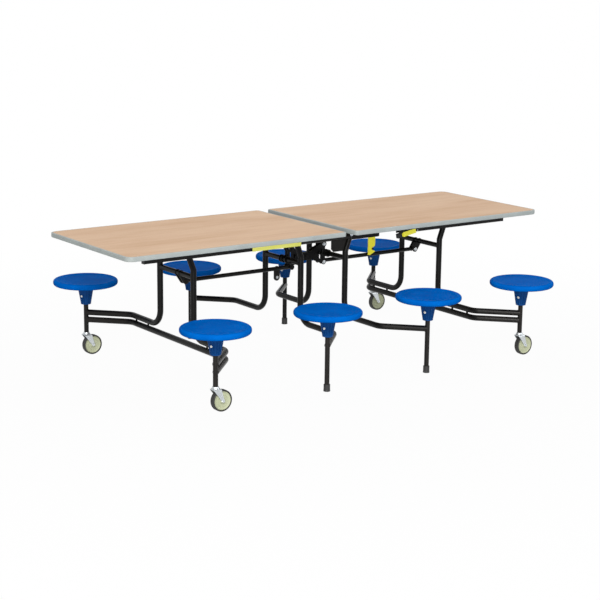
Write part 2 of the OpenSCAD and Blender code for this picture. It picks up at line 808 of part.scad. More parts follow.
// rubber tread with rounded shoulders
module tyre(n) {
  r = wheel_d / 2;
  w = wheel_w / 2;
  color(black) at_wheel(n) rotate_extrude() difference() {
    union() {
      translate([r - tread_t + fit, -w]) square([tread_t - 4 - fit, 2 * w]);
      translate([r - 4, 4 - w]) square([4, 2 * w - 8]);
      for (s = [-1, 1]) translate([r - 4, s * (w - 4)]) circle(4);
    }
    translate([0, -wheel_w]) square([r - tread_t + fit, 2 * wheel_w]);
  }
}
module at_wheel(n) {
  translate(caster_spot(n)) translate([trail, 0, wheel_d / 2]) rotate([90, 0, 0]) children();
}

// Nodes --------------------------------------------------------------------

turned() top_board();  // left_top_board
top_board();  // right_top_board
turned() top_laminate();  // left_top_laminate
top_laminate();  // right_top_laminate
turned() top_edging();  // left_top_edging
top_edging();  // right_top_edging
turned() rails();  // left_rails
rails();  // right_rails
turned() rail_caps();  // left_rail_caps
rail_caps();  // right_rail_caps
turned() rail_sleeve();  // left_rail_sleeve
rail_sleeve();  // right_rail_sleeve
turned() pivot_brackets();  // left_pivot_brackets
pivot_brackets();  // right_pivot_brackets
turned() board_screws();  // left_board_screws
right_board_screws();
turned() release_handle();  // left_release_handle
release_handle();  // right_release_handle
turned() handle_tip();  // left_handle_tip
handle_tip();  // right_handle_tip
latch_bracket();
latch_hook();
turned() inner_frame();  // left_inner_frame
inner_frame();  // right_inner_frame
centre_side_bars();
centre_plates();
centre_bolts();
rubber_feet();
turned() link(false);  // left_link
link(true);  // right_link
turned() link_lug_bolt();
turned() outer_frame();  // left_outer_frame
outer_frame();  // right_outer_frame
turned() outer_bolts();  // left_outer_bolts
outer_bolts();  // right_outer_bolts
caster_stems([1, 3]);  // left_caster_stems
caster_stems([2, 4]);  // right_caster_stems
seat_bushes([1, 5]);  // left_seat_bushes
seat_bushes([4, 8]);  // right_seat_bushes
seat_bushes([2, 3, 6, 7]);  // centre_seat_bushes
seat(1);  // seat_1
seat(2);  // seat_2
seat(3);  // seat_3
seat(4);  // seat_4
seat(5);  // seat_5
seat(6);  // seat_6
seat(7);  // seat_7
seat(8);  // seat_8
fork(1);  // fork_1
fork(2);  // fork_2
fork(3);  // fork_3
fork(4);  // fork_4
wheel(1);  // wheel_1
wheel(2);  // wheel_2
wheel(3);  // wheel_3
wheel(4);  // wheel_4
tyre(1);  // tyre_1
tyre(2);  // tyre_2
tyre(3);  // tyre_3
tyre(4);  // tyre_4
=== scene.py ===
import json
import math
import bpy
import bmesh
from mathutils import Matrix, Vector

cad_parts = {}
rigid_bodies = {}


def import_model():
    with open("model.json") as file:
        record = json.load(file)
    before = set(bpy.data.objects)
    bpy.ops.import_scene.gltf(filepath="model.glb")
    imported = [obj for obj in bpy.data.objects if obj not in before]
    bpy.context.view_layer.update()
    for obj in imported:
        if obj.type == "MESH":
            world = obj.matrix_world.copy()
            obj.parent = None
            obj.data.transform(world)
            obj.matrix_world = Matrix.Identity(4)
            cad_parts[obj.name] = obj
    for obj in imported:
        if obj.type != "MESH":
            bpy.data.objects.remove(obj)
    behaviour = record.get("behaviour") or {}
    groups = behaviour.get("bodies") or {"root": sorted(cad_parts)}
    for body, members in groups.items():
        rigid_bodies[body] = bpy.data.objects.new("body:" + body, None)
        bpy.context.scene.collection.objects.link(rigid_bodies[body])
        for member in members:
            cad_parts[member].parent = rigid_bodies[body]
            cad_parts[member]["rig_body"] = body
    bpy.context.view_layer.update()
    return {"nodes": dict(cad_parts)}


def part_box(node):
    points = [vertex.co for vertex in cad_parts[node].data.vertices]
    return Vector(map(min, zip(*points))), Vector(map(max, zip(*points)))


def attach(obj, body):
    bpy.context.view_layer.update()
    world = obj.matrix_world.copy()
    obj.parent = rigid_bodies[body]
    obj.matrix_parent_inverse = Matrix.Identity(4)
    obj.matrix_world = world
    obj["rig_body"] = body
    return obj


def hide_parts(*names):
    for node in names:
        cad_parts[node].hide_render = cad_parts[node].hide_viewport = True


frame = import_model()
nodes = frame["nodes"]
mm = 0.001
tau = 2 * math.pi
up = Vector((0, 0, 1))


def linear(hexColour):
    # sRGB hex to the linear colour that shaders take
    value = hexColour.lstrip("#")
    parts = [int(value[i:i + 2], 16) / 255 for i in (0, 2, 4)]
    return tuple(c / 12.92 if c <= 0.04045 else ((c + 0.055) / 1.055) ** 2.4 for c in parts) + (1.0,)


def startMaterial(name, roughness, slot=None):
    material = bpy.data.materials.new(name)
    material.use_nodes = True
    tree = material.node_tree
    tree.nodes.clear()
    out = tree.nodes.new("ShaderNodeOutputMaterial")
    shader = tree.nodes.new("ShaderNodeBsdfPrincipled")
    shader.inputs["Roughness"].default_value = roughness
    tree.links.new(shader.outputs["BSDF"], out.inputs["Surface"])
    if slot:
        material["slot"] = slot
    return material, tree, shader


def add(tree, kind, settings=None, links=None):
    # one node, with its settings and with what goes into its sockets
    node = tree.nodes.new("ShaderNode" + kind)
    for key, value in (settings or {}).items():
        if key.startswith("in:"):
            socket = key[3:]
            node.inputs[int(socket) if socket.isdigit() else socket].default_value = value
        elif key == "stops":
            band = node.color_ramp.elements
            while len(band) < len(value):
                band.new(0.5)
            for element, (position, colour) in zip(band, value):
                element.position = position
                element.color = linear(colour) if isinstance(colour, str) else (colour, colour, colour, 1)
        else:
            setattr(node, key, value)
    for socket, source in (links or {}).items():
        tree.links.new(source, node.inputs[int(socket) if socket.isdigit() else socket])
    return node


def place(tree, scale=(1, 1, 1)):
    # object space in metres, so a scale is a count per metre
    coords = add(tree, "TexCoord")
    return add(tree, "Mapping", {"in:Scale": scale}, {"Vector": coords.outputs["Object"]}).outputs["Vector"]


def clearRays(tree):
    # 1 for camera, mirror and glass rays, which see the plain white surroundings
    path = add(tree, "LightPath")
    first = add(tree, "Math", {"operation": "MAXIMUM"},
                {"0": path.outputs["Is Camera Ray"], "1": path.outputs["Is Glossy Ray"]})
    return add(tree, "Math", {"operation": "MAXIMUM"},
               {"0": first.outputs[0], "1": path.outputs["Is Transmission Ray"]}).outputs[0]


print("stage: materials")

laminateLook = {"pale": "#DBB792", "mid": "#D2AB86", "dark": "#C49A72", "pore": "#B88A62",
                "boardWidthMm": 95, "grainWidthMm": 7, "poreLengthMm": 9, "poreWidthMm": 0.9,
                "plateMm": 1.4286, "plateDepthMm": 0.2, "bandsPerMetre": 1.6, "streaksPerMetre": 5,
                "roughness": 0.36, "gloss": 0.12}


def beechLaminate():
    # printed high pressure laminate, pressed against a satin plate: pale warm beech whose
    # bands run along the table, with short dark flecks and a soft even sheen
    look = laminateLook
    material, tree, shader = startMaterial("beechLaminate", look["roughness"], "beech_laminate")
    slow = add(tree, "TexNoise", {"in:Scale": 1.0, "in:Detail": 3.0, "in:Roughness": 0.55},
               {"Vector": place(tree, (look["bandsPerMetre"], 1000 / look["boardWidthMm"], 1))})
    grain = add(tree, "TexNoise",
                {"in:Scale": 1.0, "in:Detail": 4.0, "in:Roughness": 0.6, "in:Distortion": 0.6},
                {"Vector": place(tree, (look["streaksPerMetre"], 1000 / look["grainWidthMm"], 1))})
    tone = add(tree, "Mix", {"data_type": "FLOAT", "in:0": 0.45},
               {"2": slow.outputs["Fac"], "3": grain.outputs["Fac"]})
    wood = add(tree, "ValToRGB", {"stops": [(0.32, look["pale"]), (0.5, look["mid"]), (0.68, look["dark"])]},
               {"Fac": tone.outputs[0]})
    pores = add(tree, "TexNoise", {"in:Scale": 1.0, "in:Detail": 2.0, "in:Roughness": 0.6},
                {"Vector": place(tree, (1000 / look["poreLengthMm"], 1000 / look["poreWidthMm"], 1))})
    mask = add(tree, "ValToRGB", {"stops": [(0.58, 0.0), (0.7, 0.55)]}, {"Fac": pores.outputs["Fac"]})
    mixed = add(tree, "Mix", {"data_type": "RGBA", "in:7": linear(look["pore"])},
                {"0": mask.outputs["Color"], "6": wood.outputs["Color"]})
    tree.links.new(mixed.outputs[2], shader.inputs["Base Color"])
    rough = add(tree, "MapRange", {"in:3": look["roughness"] - 0.04, "in:4": look["roughness"] + 0.08},
                {"Value": slow.outputs["Fac"]})
    tree.links.new(rough.outputs[0], shader.inputs["Roughness"])
    shader.inputs["Specular IOR Level"].default_value = look["gloss"]
    plate = add(tree, "TexNoise", {"in:Scale": 1000 / look["plateMm"], "in:Detail": 2.0},
                {"Vector": place(tree)})
    bump = add(tree, "Bump", {"in:Strength": 0.08, "in:Distance": look["plateDepthMm"] * mm},
               {"Height": plate.outputs["Fac"]})
    tree.links.new(bump.outputs[0], shader.inputs["Normal"])
    return material


backerLook = {"colours": ("#8C7862", "#9B866E", "#A8937A"), "cloudMm": 36, "fibreMm": 3, "fibreDepthMm": 0.3,
              "roughness": 0.62}


def backerSheet():
    # phenolic paper glued under the board: dull brown with a cloudy fibre
    look = backerLook
    material, tree, shader = startMaterial("phenolicBackerSheet", look["roughness"], "board_core")
    cloud = add(tree, "TexNoise", {"in:Scale": 1000 / look["cloudMm"], "in:Detail": 6.0, "in:Roughness": 0.7},
                {"Vector": place(tree)})
    ramp = add(tree, "ValToRGB", {"stops": list(zip((0.3, 0.5, 0.72), look["colours"]))},
               {"Fac": cloud.outputs["Fac"]})
    tree.links.new(ramp.outputs["Color"], shader.inputs["Base Color"])
    fibre = add(tree, "TexNoise", {"in:Scale": 1000 / look["fibreMm"], "in:Detail": 3.0},
                {"Vector": place(tree)})
    bump = add(tree, "Bump", {"in:Strength": 0.15, "in:Distance": look["fibreDepthMm"] * mm},
               {"Height": fibre.outputs["Fac"]})
    tree.links.new(bump.outputs[0], shader.inputs["Normal"])
    return material


def addPaintedGlow(tree, shader, colour, glow):
    # painted glow: the part gives off a little light in its own colour, which lifts it where the top shades
    # it
    if glow:
        tree.links.new(colour, shader.inputs["Emission Color"])
        shader.inputs["Emission Strength"].default_value = glow


plasticLooks = {
    "greyEdging": {"slot": "grey_edging", "colours": ("#9DA4A3", "#A8AFAD"), "rubAndSheen": "#BCC0BF",
                   "roughness": 0.42, "grainMm": 0.9, "depthMm": 0.15, "gloss": 0.2},
    # the sleeve's glow is painted light: it shines by itself in its own yellow
    "yellowSleeve": {"slot": "yellow_plastic", "colours": ("#F2F276", "#F7F784"),
                     "roughness": 0.4, "grainMm": 0.8, "depthMm": 0.15, "gloss": 0.2, "glow": 0.14},
    # the seat disc's paler edge colour is a painted highlight that lightens its rolled rim
    "bluePolypropylene": {"slot": "blue_seat", "colours": ("#0059B4", "#0064C2"), "rubAndSheen": "#1A74D6",
                          "roughness": 0.34, "grainMm": 1.2, "depthMm": 0.25, "gloss": 0.001},
    # the hub's darker blue is the seat's blue with painted shade, for the shade under the disc
    "seatBlueWithPaintedShade": {"slot": "blue_seat", "colours": ("#083C78", "#0B4484"), "rubAndSheen": "#15528F",
                             "roughness": 0.36, "grainMm": 1.2, "depthMm": 0.25, "gloss": 0.1},
    "blackNylon": {"slot": "black_plastic", "colours": ("#151515", "#1D1D1D"),
                   "roughness": 0.45, "grainMm": 0.8, "depthMm": 0.15, "gloss": 0.3},
    "naturalNylon": {"slot": "nylon", "colours": ("#E9E8E0", "#F4F3EE"),
                     "roughness": 0.4, "grainMm": 0.8, "depthMm": 0.1, "gloss": 0.5},
    "creamPolypropylene": {"slot": "wheel_centre", "colours": ("#B4B99B", "#C2C6A9"),
                           "roughness": 0.4, "grainMm": 0.8, "depthMm": 0.15, "gloss": 0.2},
    "mouldedRubber": {"slot": "rubber", "colours": ("#1D1D1D", "#272727"), "rubAndSheen": "#3C3C3C",
                      "roughness": 0.6, "grainMm": 0.9, "depthMm": 0.2, "gloss": 0.5},
    "rubberTread": {"slot": "tread", "colours": ("#1B1B1B", "#252524"), "rubAndSheen": "#3E3C38",
                    "roughness": 0.62, "grainMm": 0.7, "depthMm": 0.2, "gloss": 0.5},
}
plasticIor = 1.49
plasticCloudMm = 70


def mouldedPlastic(name):
    # injection moulded: an even colour that clouds a little, a fine spark grain from the mould and, where
    # given,
    # paler convex edges: rubbed wear, and on the seat disc a painted highlight along the rolled rim; where
    # given too, a painted glow
    look = plasticLooks[name]
    material, tree, shader = startMaterial(name, look["roughness"], look["slot"])
    cloud = add(tree, "TexNoise", {"in:Scale": 1000 / plasticCloudMm, "in:Detail": 3.0},
                {"Vector": place(tree)})
    ramp = add(tree, "ValToRGB", {"stops": list(zip((0.3, 0.7), look["colours"]))},
               {"Fac": cloud.outputs["Fac"]})
    colour = ramp.outputs["Color"]
    if "rubAndSheen" in look:
        # paler convex edges: on the seat disc a painted highlight along the rim, elsewhere rubbed wear
        form = add(tree, "NewGeometry")
        edge = add(tree, "ValToRGB", {"stops": [(0.51, 0.0), (0.6, 0.5)]},
                   {"Fac": form.outputs["Pointiness"]})
        mixed = add(tree, "Mix", {"data_type": "RGBA", "in:7": linear(look["rubAndSheen"])},
                    {"0": edge.outputs["Color"], "6": colour})
        colour = mixed.outputs[2]
    tree.links.new(colour, shader.inputs["Base Color"])
    grain = add(tree, "TexNoise", {"in:Scale": 1000 / look["grainMm"], "in:Detail": 4.0, "in:Roughness": 0.6},
                {"Vector": place(tree)})
    bump = add(tree, "Bump", {"in:Strength": 0.3, "in:Distance": look["depthMm"] * mm},
               {"Height": grain.outputs["Fac"]})
    tree.links.new(bump.outputs[0], shader.inputs["Normal"])
    rough = add(tree, "MapRange", {"in:3": look["roughness"] - 0.05, "in:4": look["roughness"] + 0.07},
                {"Value": cloud.outputs["Fac"]})
    tree.links.new(rough.outputs[0], shader.inputs["Roughness"])
    shader.inputs["IOR"].default_value = plasticIor
    shader.inputs["Specular IOR Level"].default_value = look["gloss"]
    addPaintedGlow(tree, shader, colour, look.get("glow", 0))
    return material


paintLooks = {
    "satinBlackPowderCoat": {"slot": "black_tube", "dark": "#0A0A0A", "light": "#11100F", "rubAndSheen": "#3E3A37",
                             "roughness": 0.3, "gloss": 0.14},
    # the yellow coat's glow is painted light: it shines by itself in its own yellow
    "yellowPowderCoat": {"slot": "yellow_paint", "dark": "#F2EA3A", "light": "#F8F24A", "rubAndSheen": "#CDBC22",
                         "roughness": 0.36, "gloss": 0.3, "glow": 0.16},
}
peelMm = 1.8
peelDepthMm = 0.2
paintCloudMm = 110
scuffMm = 14


def powderCoat(name):
    # baked powder on steel: a satin skin with fine orange peel, and thin spots on the edges; the yellow coat
    # also gets a painted glow
    look = paintLooks[name]
    material, tree, shader = startMaterial(name, look["roughness"], look["slot"])
    cloud = add(tree, "TexNoise", {"in:Scale": 1000 / paintCloudMm, "in:Detail": 4.0},
                {"Vector": place(tree)})
    ramp = add(tree, "ValToRGB", {"stops": [(0.35, look["dark"]), (0.7, look["light"])]},
               {"Fac": cloud.outputs["Fac"]})
    form = add(tree, "NewGeometry")
    edge = add(tree, "ValToRGB", {"stops": [(0.54, 0.0), (0.66, 0.7)]}, {"Fac": form.outputs["Pointiness"]})
    scuff = add(tree, "TexNoise", {"in:Scale": 1000 / scuffMm, "in:Detail": 5.0, "in:Roughness": 0.7},
                {"Vector": place(tree)})
    worn = add(tree, "Math", {"operation": "MULTIPLY"},
               {"0": edge.outputs["Color"], "1": scuff.outputs["Fac"]})
    mixed = add(tree, "Mix", {"data_type": "RGBA", "in:7": linear(look["rubAndSheen"])},
                {"0": worn.outputs[0], "6": ramp.outputs["Color"]})
    tree.links.new(mixed.outputs[2], shader.inputs["Base Color"])
    peel = add(tree, "TexNoise", {"in:Scale": 1000 / peelMm, "in:Detail": 2.0}, {"Vector": place(tree)})
    bump = add(tree, "Bump", {"in:Strength": 0.2, "in:Distance": peelDepthMm * mm},
               {"Height": peel.outputs["Fac"]})
    tree.links.new(bump.outputs[0], shader.inputs["Normal"])
    rough = add(tree, "MapRange", {"in:3": look["roughness"] - 0.05, "in:4": look["roughness"] + 0.09},
                {"Value": cloud.outputs["Fac"]})
    tree.links.new(rough.outputs[0], shader.inputs["Roughness"])
    shader.inputs["Specular IOR Level"].default_value = look["gloss"]
    addPaintedGlow(tree, shader, mixed.outputs[2], look.get("glow", 0))
    return material


zincLook = {"bright": "#D6DADC", "dull": "#B4BABE", "spangleMm": 3, "drawnMm": (8.333, 8.333, 1.111),
            "drawnDepthMm": 0.2, "roughness": 0.28, "metal": 0.85}


def zincPlated():
    # bright zinc on pressed steel: pale bluish metal with a faint spangle
    look = zincLook
    material, tree, shader = startMaterial("zincPlatedSteel", look["roughness"], "zinc")
    spangle = add(tree, "TexVoronoi", {"in:Scale": 1000 / look["spangleMm"]}, {"Vector": place(tree)})
    ramp = add(tree, "ValToRGB", {"stops": [(0.1, look["dull"]), (0.8, look["bright"])]},
               {"Fac": spangle.outputs["Color"]})
    tree.links.new(ramp.outputs["Color"], shader.inputs["Base Color"])
    shader.inputs["Metallic"].default_value = look["metal"]
    drawn = add(tree, "TexNoise", {"in:Scale": 1.0, "in:Detail": 3.0},
                {"Vector": place(tree, tuple(1000 / size for size in look["drawnMm"]))})
    rough = add(tree, "MapRange", {"in:3": look["roughness"] - 0.05, "in:4": look["roughness"] + 0.14},
                {"Value": drawn.outputs["Fac"]})
    tree.links.new(rough.outputs[0], shader.inputs["Roughness"])
    bump = add(tree, "Bump", {"in:Strength": 0.1, "in:Distance": look["drawnDepthMm"] * mm},
               {"Height": drawn.outputs["Fac"]})
    tree.links.new(bump.outputs[0], shader.inputs["Normal"])
    return material


laminate = beechLaminate()
backer = backerSheet()
edging = mouldedPlastic("greyEdging")
blackSteel = powderCoat("satinBlackPowderCoat")
yellowSteel = powderCoat("yellowPowderCoat")
yellowPlastic = mouldedPlastic("yellowSleeve")
seatBlue = mouldedPlastic("bluePolypropylene")
hubBluePaintedShade = mouldedPlastic("seatBlueWithPaintedShade")
blackPlastic = mouldedPlastic("blackNylon")
nylon = mouldedPlastic("naturalNylon")
wheelCream = mouldedPlastic("creamPolypropylene")
footRubber = mouldedPlastic("mouldedRubber")
treadRubber = mouldedPlastic("rubberTread")
zinc = zincPlated()

# the first key that is part of a node's name gives its finish
finishes = {
    "seat_bushes": nylon, "top_laminate": laminate, "top_board": backer, "top_edging": edging,
    "rail_caps": blackPlastic, "rail_sleeve": yellowPlastic, "rails": blackSteel,
    "pivot_brackets": blackSteel, "board_screws": zinc, "release_handle": yellowSteel,
    "handle_tip": blackPlastic, "latch_bracket": blackSteel, "latch_hook": yellowSteel,
    "frame": blackSteel, "side_bars": blackSteel, "centre_plates": blackSteel,
    "bolt": zinc, "rubber_feet": footRubber, "link": blackSteel, "stems": zinc,
    "seat_": seatBlue, "fork_": zinc, "wheel_": wheelCream, "tyre_": treadRubber,
}
for name, thing in nodes.items():
    finish = next(material for key, material in finishes.items() if key in name)
    thing.data.materials.clear()
    thing.data.materials.append(finish)


def bodyOf(name):
    return nodes[name]["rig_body"]


def aim(point, direction):
    # matrix whose z axis runs along direction from point
    turn = Vector(direction).to_track_quat("Z", "Y").to_matrix().to_4x4()
    return Matrix.Translation(point) @ turn


def arc(cx, cy, r, start, end, steps):
    turns = [math.radians(start + (end - start) * i / steps) for i in range(steps + 1)]
    return [(cx + r * math.cos(turn), cy + r * math.sin(turn)) for turn in turns]


def lathe(bm, profile, matrix=Matrix.Identity(4), segments=48, closed=False):
    # turns (radius, height) points in mm about z
    rings = []
    for r, h in profile:
        count = segments if r > 1e-6 else 1
        spots = [Vector((r * math.cos(tau * i / segments), r * math.sin(tau * i / segments), h)) * mm
                 for i in range(count)]
        rings.append([bm.verts.new(matrix @ spot) for spot in spots])
    for low, high in zip(rings, rings[1:] + rings[:1] if closed else rings[1:]):
        for i in range(segments):
            j = (i + 1) % segments
            loop = [low[i % len(low)], low[j % len(low)], high[j % len(high)], high[i % len(high)]]
            loop = list(dict.fromkeys(loop))
            if len(loop) > 2:
                bm.faces.new(loop)


def stitch(bm, rings, closed=False):
    # quads between neighbouring rings of the same count
    for low, high in zip(rings, rings[1:] + rings[:1] if closed else rings[1:]):
        for i in range(len(low)):
            j = (i + 1) % len(low)
            bm.faces.new((low[i], low[j], high[j], high[i]))


def prism(bm, outline, low, high, matrix=Matrix.Identity(4)):
    # outline of (x, y) points in mm, raised from low to high
    rings = [[bm.verts.new(matrix @ (Vector((x, y, h)) * mm)) for x, y in outline] for h in (low, high)]
    stitch(bm, rings)
    bm.faces.new(list(reversed(rings[0])))
    bm.faces.new(rings[1])


def bead(bm, points, radius, sides=8):
    # closed round bead through points in metres, its radius rippling like a weld
    count = len(points)
    rings = []
    side = None
    for k in range(count):
        along = (points[(k + 1) % count] - points[k - 1]).normalized()
        side = (side - along * side.dot(along)).normalized() if side else along.orthogonal().normalized()
        other = along.cross(side)
        r = radius * mm * (1 + 0.12 * math.sin(k * tau / 3))
        turns = [tau * i / sides for i in range(sides)]
        rings.append([bm.verts.new(points[k] + r * (math.cos(turn) * side + math.sin(turn) * other))
                      for turn in turns])
    # the last ring meets the first at its nearest turn
    shift = min(range(sides), key=lambda s: (rings[-1][0].co - rings[0][s].co).length)
    stitch(bm, rings + [rings[0][shift:] + rings[0][:shift]])


def finishPiece(name, bm, material, body, stands=(), bevel=0, smoothAngle=32):
    # turns a bmesh into a piece that rides on its body and stands for CAD nodes
    bmesh.ops.recalc_face_normals(bm, faces=bm.faces)
    mesh = bpy.data.meshes.new(name)
    bm.to_mesh(mesh)
    bm.free()
    thing = bpy.data.objects.new(name, mesh)
    bpy.context.scene.collection.objects.link(thing)
    mesh.materials.append(material)
    mesh.shade_smooth()
    mesh.set_sharp_from_angle(angle=math.radians(smoothAngle))
    if bevel:
        soft = thing.modifiers.new("softEdges", "BEVEL")
        soft.width = bevel * mm
        soft.segments = 2
        soft.limit_method = "ANGLE"
        soft.angle_limit = math.radians(smoothAngle)
        soft.harden_normals = True
        baked = bpy.data.meshes.new_from_object(thing.evaluated_get(bpy.context.evaluated_depsgraph_get()))
        thing.modifiers.clear()
        thing.data = baked
    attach(thing, body)
    if stands:
        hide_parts(*stands)
    return thing


def solids(name):
    # the separate solids of one CAD node: the points of each, in a fixed order
    bm = bmesh.new()
    bm.from_mesh(nodes[name].data)
    bmesh.ops.remove_doubles(bm, verts=bm.verts, dist=1e-6)
    bm.verts.index_update()
    left = {v.index: v for v in bm.verts}
    groups = []
    while left:
        stack = [left.pop(min(left))]
        group = []
        while stack:
            vert = stack.pop()
            group.append(vert.co.copy())
            for edge in vert.link_edges:
                other = edge.other_vert(vert)
                if other.index in left:
                    stack.append(left.pop(other.index))
        groups.append(group)
    bm.free()
    return groups


def corners(points):
    low = Vector([min(p[i] for p in points) for i in range(3)])
    high = Vector([max(p[i] for p in points) for i in range(3)])
    return low, high


def softened(node, bevel):
    # the CAD node's own solids with their edges taken off, as pressing and paint leave them
    bm = bmesh.new()
    bm.from_mesh(nodes[node].data)
    bmesh.ops.remove_doubles(bm, verts=bm.verts, dist=1e-6)
    bmesh.ops.dissolve_limit(bm, angle_limit=math.radians(1.0), verts=bm.verts, edges=bm.edges)
    return finishPiece(node + "_finished", bm, nodes[node].data.materials[0], bodyOf(node), (node,), bevel)


print("stage: seats")

seatLook = {"rim": 12, "skin": 4.5, "thick": 28, "dish": 3.2, "ribs": 12, "ribDepth": 11, "ribThick": 2.8,
            "fins": 16, "finThick": 4.6, "finDepth": 2.8, "collar": 6, "hubLow": 25.5, "hubTop": 43,
            "bore": 12.25, "hubDrop": 22, "plugTurn": 204, "plugUp": 44}


def mouldSeat(n):
    # polypropylene disc with a rolled rim and ribs, on a fluted hub
    look = seatLook
    node = "seat_%d" % n
    low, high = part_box(node)
    middle = Matrix.Translation(((low.x + high.x) / 2, (low.y + high.y) / 2, 0))
    upright = Matrix.Rotation(math.radians(90), 4, "X")
    r = (high.x - low.x) / 2 / mm
    top, bottom = high.z / mm, low.z / mm
    skin, dish, rim = look["skin"], look["dish"], look["rim"]
    under = top - skin
    base = top - look["thick"]
    lowR, topR = look["hubLow"], look["hubTop"]
    bm = bmesh.new()
    face = [(0, top - dish), (r * 0.4, top - dish), (r * 0.74, top - dish), (r * 0.79, top - dish * 0.88),
            (r * 0.835, top - dish * 0.4), (r * 0.87, top - dish * 0.06), (r * 0.89, top)]
    back = [(r - rim - 1.2, base + 0.4), (r - rim - 1.6, base + 3), (r - rim + 2, base + 5.2),
            (r - skin - 1.2, base + rim), (r - skin - 1.2, top - rim), (r - skin - 4, under - 2.8),
            (r - skin - 10, under - dish * 0.5), (r * 0.74, under - dish), (topR + 4, under - dish),
            (topR - 2, under - dish - 2), (0, under - dish - 2)]
    roll = arc(r - rim, top - rim, rim, 90, 0, 10) + arc(r - rim, base + rim, rim, 0, -90, 10)
    lathe(bm, face + roll + back, middle, 96)
    # ribs under the skin, deeper towards the hub
    for i in range(look["ribs"]):
        turn = middle @ Matrix.Rotation(tau * i / look["ribs"], 4, "Z") @ upright
        outline = [(topR - 3, under - look["ribDepth"] - 5), (r * 0.62, under - look["ribDepth"]),
                   (r - skin - 3, under - look["ribDepth"] + 2), (r - skin - 3, under - 5),
                   (r - rim - 6, under - 2), (topR - 3, under - 3)]
        prism(bm, outline, -look["ribThick"] / 2, look["ribThick"] / 2, turn)
    finishPiece("seat_disc_%d" % n, bm, seatBlue, node, (node,), bevel=0.7, smoothAngle=28)
    # hub: a tapered core open round the post, low flutes on it and a collar below; its darker blue is painted
    # shade from the disc above
    bm = bmesh.new()
    depth = look["finDepth"]
    collar = bottom + look["collar"]
    shoulder = under - look["hubDrop"]
    lathe(bm, [(look["bore"], bottom), (lowR - 1.5, bottom), (lowR, bottom + 1.5), (lowR, collar),
               (lowR - 0.8, collar + 1), (lowR - depth, collar + 2.6), (topR - depth, shoulder - 3),
               (topR - 1, shoulder + 1), (topR, shoulder + 4), (topR, under - 3), (look["bore"], under - 3)],
          middle, 64, closed=True)
    for i in range(look["fins"]):
        turn = middle @ Matrix.Rotation(tau * (i + 0.5) / look["fins"], 4, "Z") @ upright
        outline = [(lowR - depth - 2, bottom + 4), (lowR - 0.3, bottom + 4), (topR - 0.5, shoulder + 3),
                   (topR - 0.5, under - 4), (topR - depth - 4, under - 4), (topR - depth - 4, shoulder)]
        prism(bm, outline, -look["finThick"] / 2, look["finThick"] / 2, turn)
    finishPiece("seat_hub_%d" % n, bm, hubBluePaintedShade, node, (node,), bevel=0.7, smoothAngle=28)
    # pale plug over the fixing that clamps the hub, on a small round pad in the hub's painted-shade blue
    angle = math.radians(look["plugTurn"])
    z = bottom + look["plugUp"]
    reach = lowR + (topR - lowR) * look["plugUp"] / (shoulder - bottom)
    out = Vector((math.cos(angle), math.sin(angle), 0))
    spot = middle @ (Vector((reach * out.x, reach * out.y, z)) * mm)
    pad = bmesh.new()
    lathe(pad, [(0, -9), (9, -9), (8, 0), (7.4, 0.8), (0, 0.8)], aim(spot, out), 24)
    finishPiece("seat_pad_%d" % n, pad, hubBluePaintedShade, node)
    head = bmesh.new()
    lathe(head, [(0, 0), (6, 0), (6, 0.8), (5.4, 1.8), (3.4, 2.5), (0, 2.8)],
          aim(spot + out * 0.7 * mm, out), 24)
    finishPiece("seat_plug_%d" % n, head, nylon, node)


for n in range(1, 9):
    mouldSeat(n)


print("stage: table top")

edgeLook = {"width": 8, "round": 3.2, "crown": 0.35, "endCorner": 38, "seamCorner": 16, "cornerSteps": 16}


def planOutline(node):
    # points round one half with its round corners, and the way outwards at each
    look = edgeLook
    low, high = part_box(node)
    x0, x1 = sorted((abs(low.x) / mm, abs(high.x) / mm))
    w = high.y / mm
    end, seam = look["endCorner"], look["seamCorner"]
    spots = []
    for cx, cy, r, start in ((x1 - end, w - end, end, 0), (x0 + seam, w - seam, seam, 90),
                             (x0 + seam, seam - w, seam, 180), (x1 - end, end - w, end, 270)):
        for px, py in arc(0, 0, 1, start, start + 90, look["cornerSteps"]):
            out = Vector((px, py, 0))
            spots.append((Vector((cx, cy, 0)) + r * out, out))
    side = 1 if high.x > 0 else -1
    return [(spot * side, out * side) for spot, out in spots]


def mouldEdging(node):
    # grey band pressed on the board, rounded over at top and bottom
    look = edgeLook
    low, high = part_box(node)
    base, depth = low.z / mm, (high.z - low.z) / mm
    r, width = look["round"], look["width"]
    section = ([(width, depth - 0.5), (width - 0.4, depth - 0.1), (width - 1, depth)]
               + arc(r, depth - r, r, 90, 180, 6) + [(-look["crown"], depth / 2)]
               + arc(r, r, r, 180, 270, 6) + [(width, 0)])
    bm = bmesh.new()
    rings = [[bm.verts.new((spot - out * d + up * (base + h)) * mm) for d, h in section]
             for spot, out in planOutline(node)]
    stitch(bm, rings, closed=True)
    finishPiece(node + "_moulded", bm, edging, bodyOf(node), (node,), smoothAngle=50)


for half in ("left", "right"):
    mouldEdging(half + "_top_edging")


print("stage: rails and plates")

railLook = {"wall": 2.5, "fold": 4.5, "sleeveWall": 1.8}
edgeRounds = {"rail_caps": 1.0, "pivot_brackets": 0.7, "release_handle": 2.0, "handle_tip": 2.0,
              "latch_bracket": 0.6, "latch_hook": 0.7, "centre_plates": 0.6, "rubber_feet": 0.5}


def channelSection(w, h, t, fold):
    # folded channel, open below: (across, up) points round the section
    side, crown = w / 2 - fold, h - fold
    outer = arc(side, crown, fold, 0, 90, 5) + arc(-side, crown, fold, 90, 180, 5)
    inner = arc(-side, crown, fold - t, 180, 90, 4) + arc(side, crown, fold - t, 90, 0, 4)
    return [(w / 2, 0)] + outer + [(-w / 2, 0), (-w / 2 + t, 0)] + inner + [(w / 2 - t, 0)]


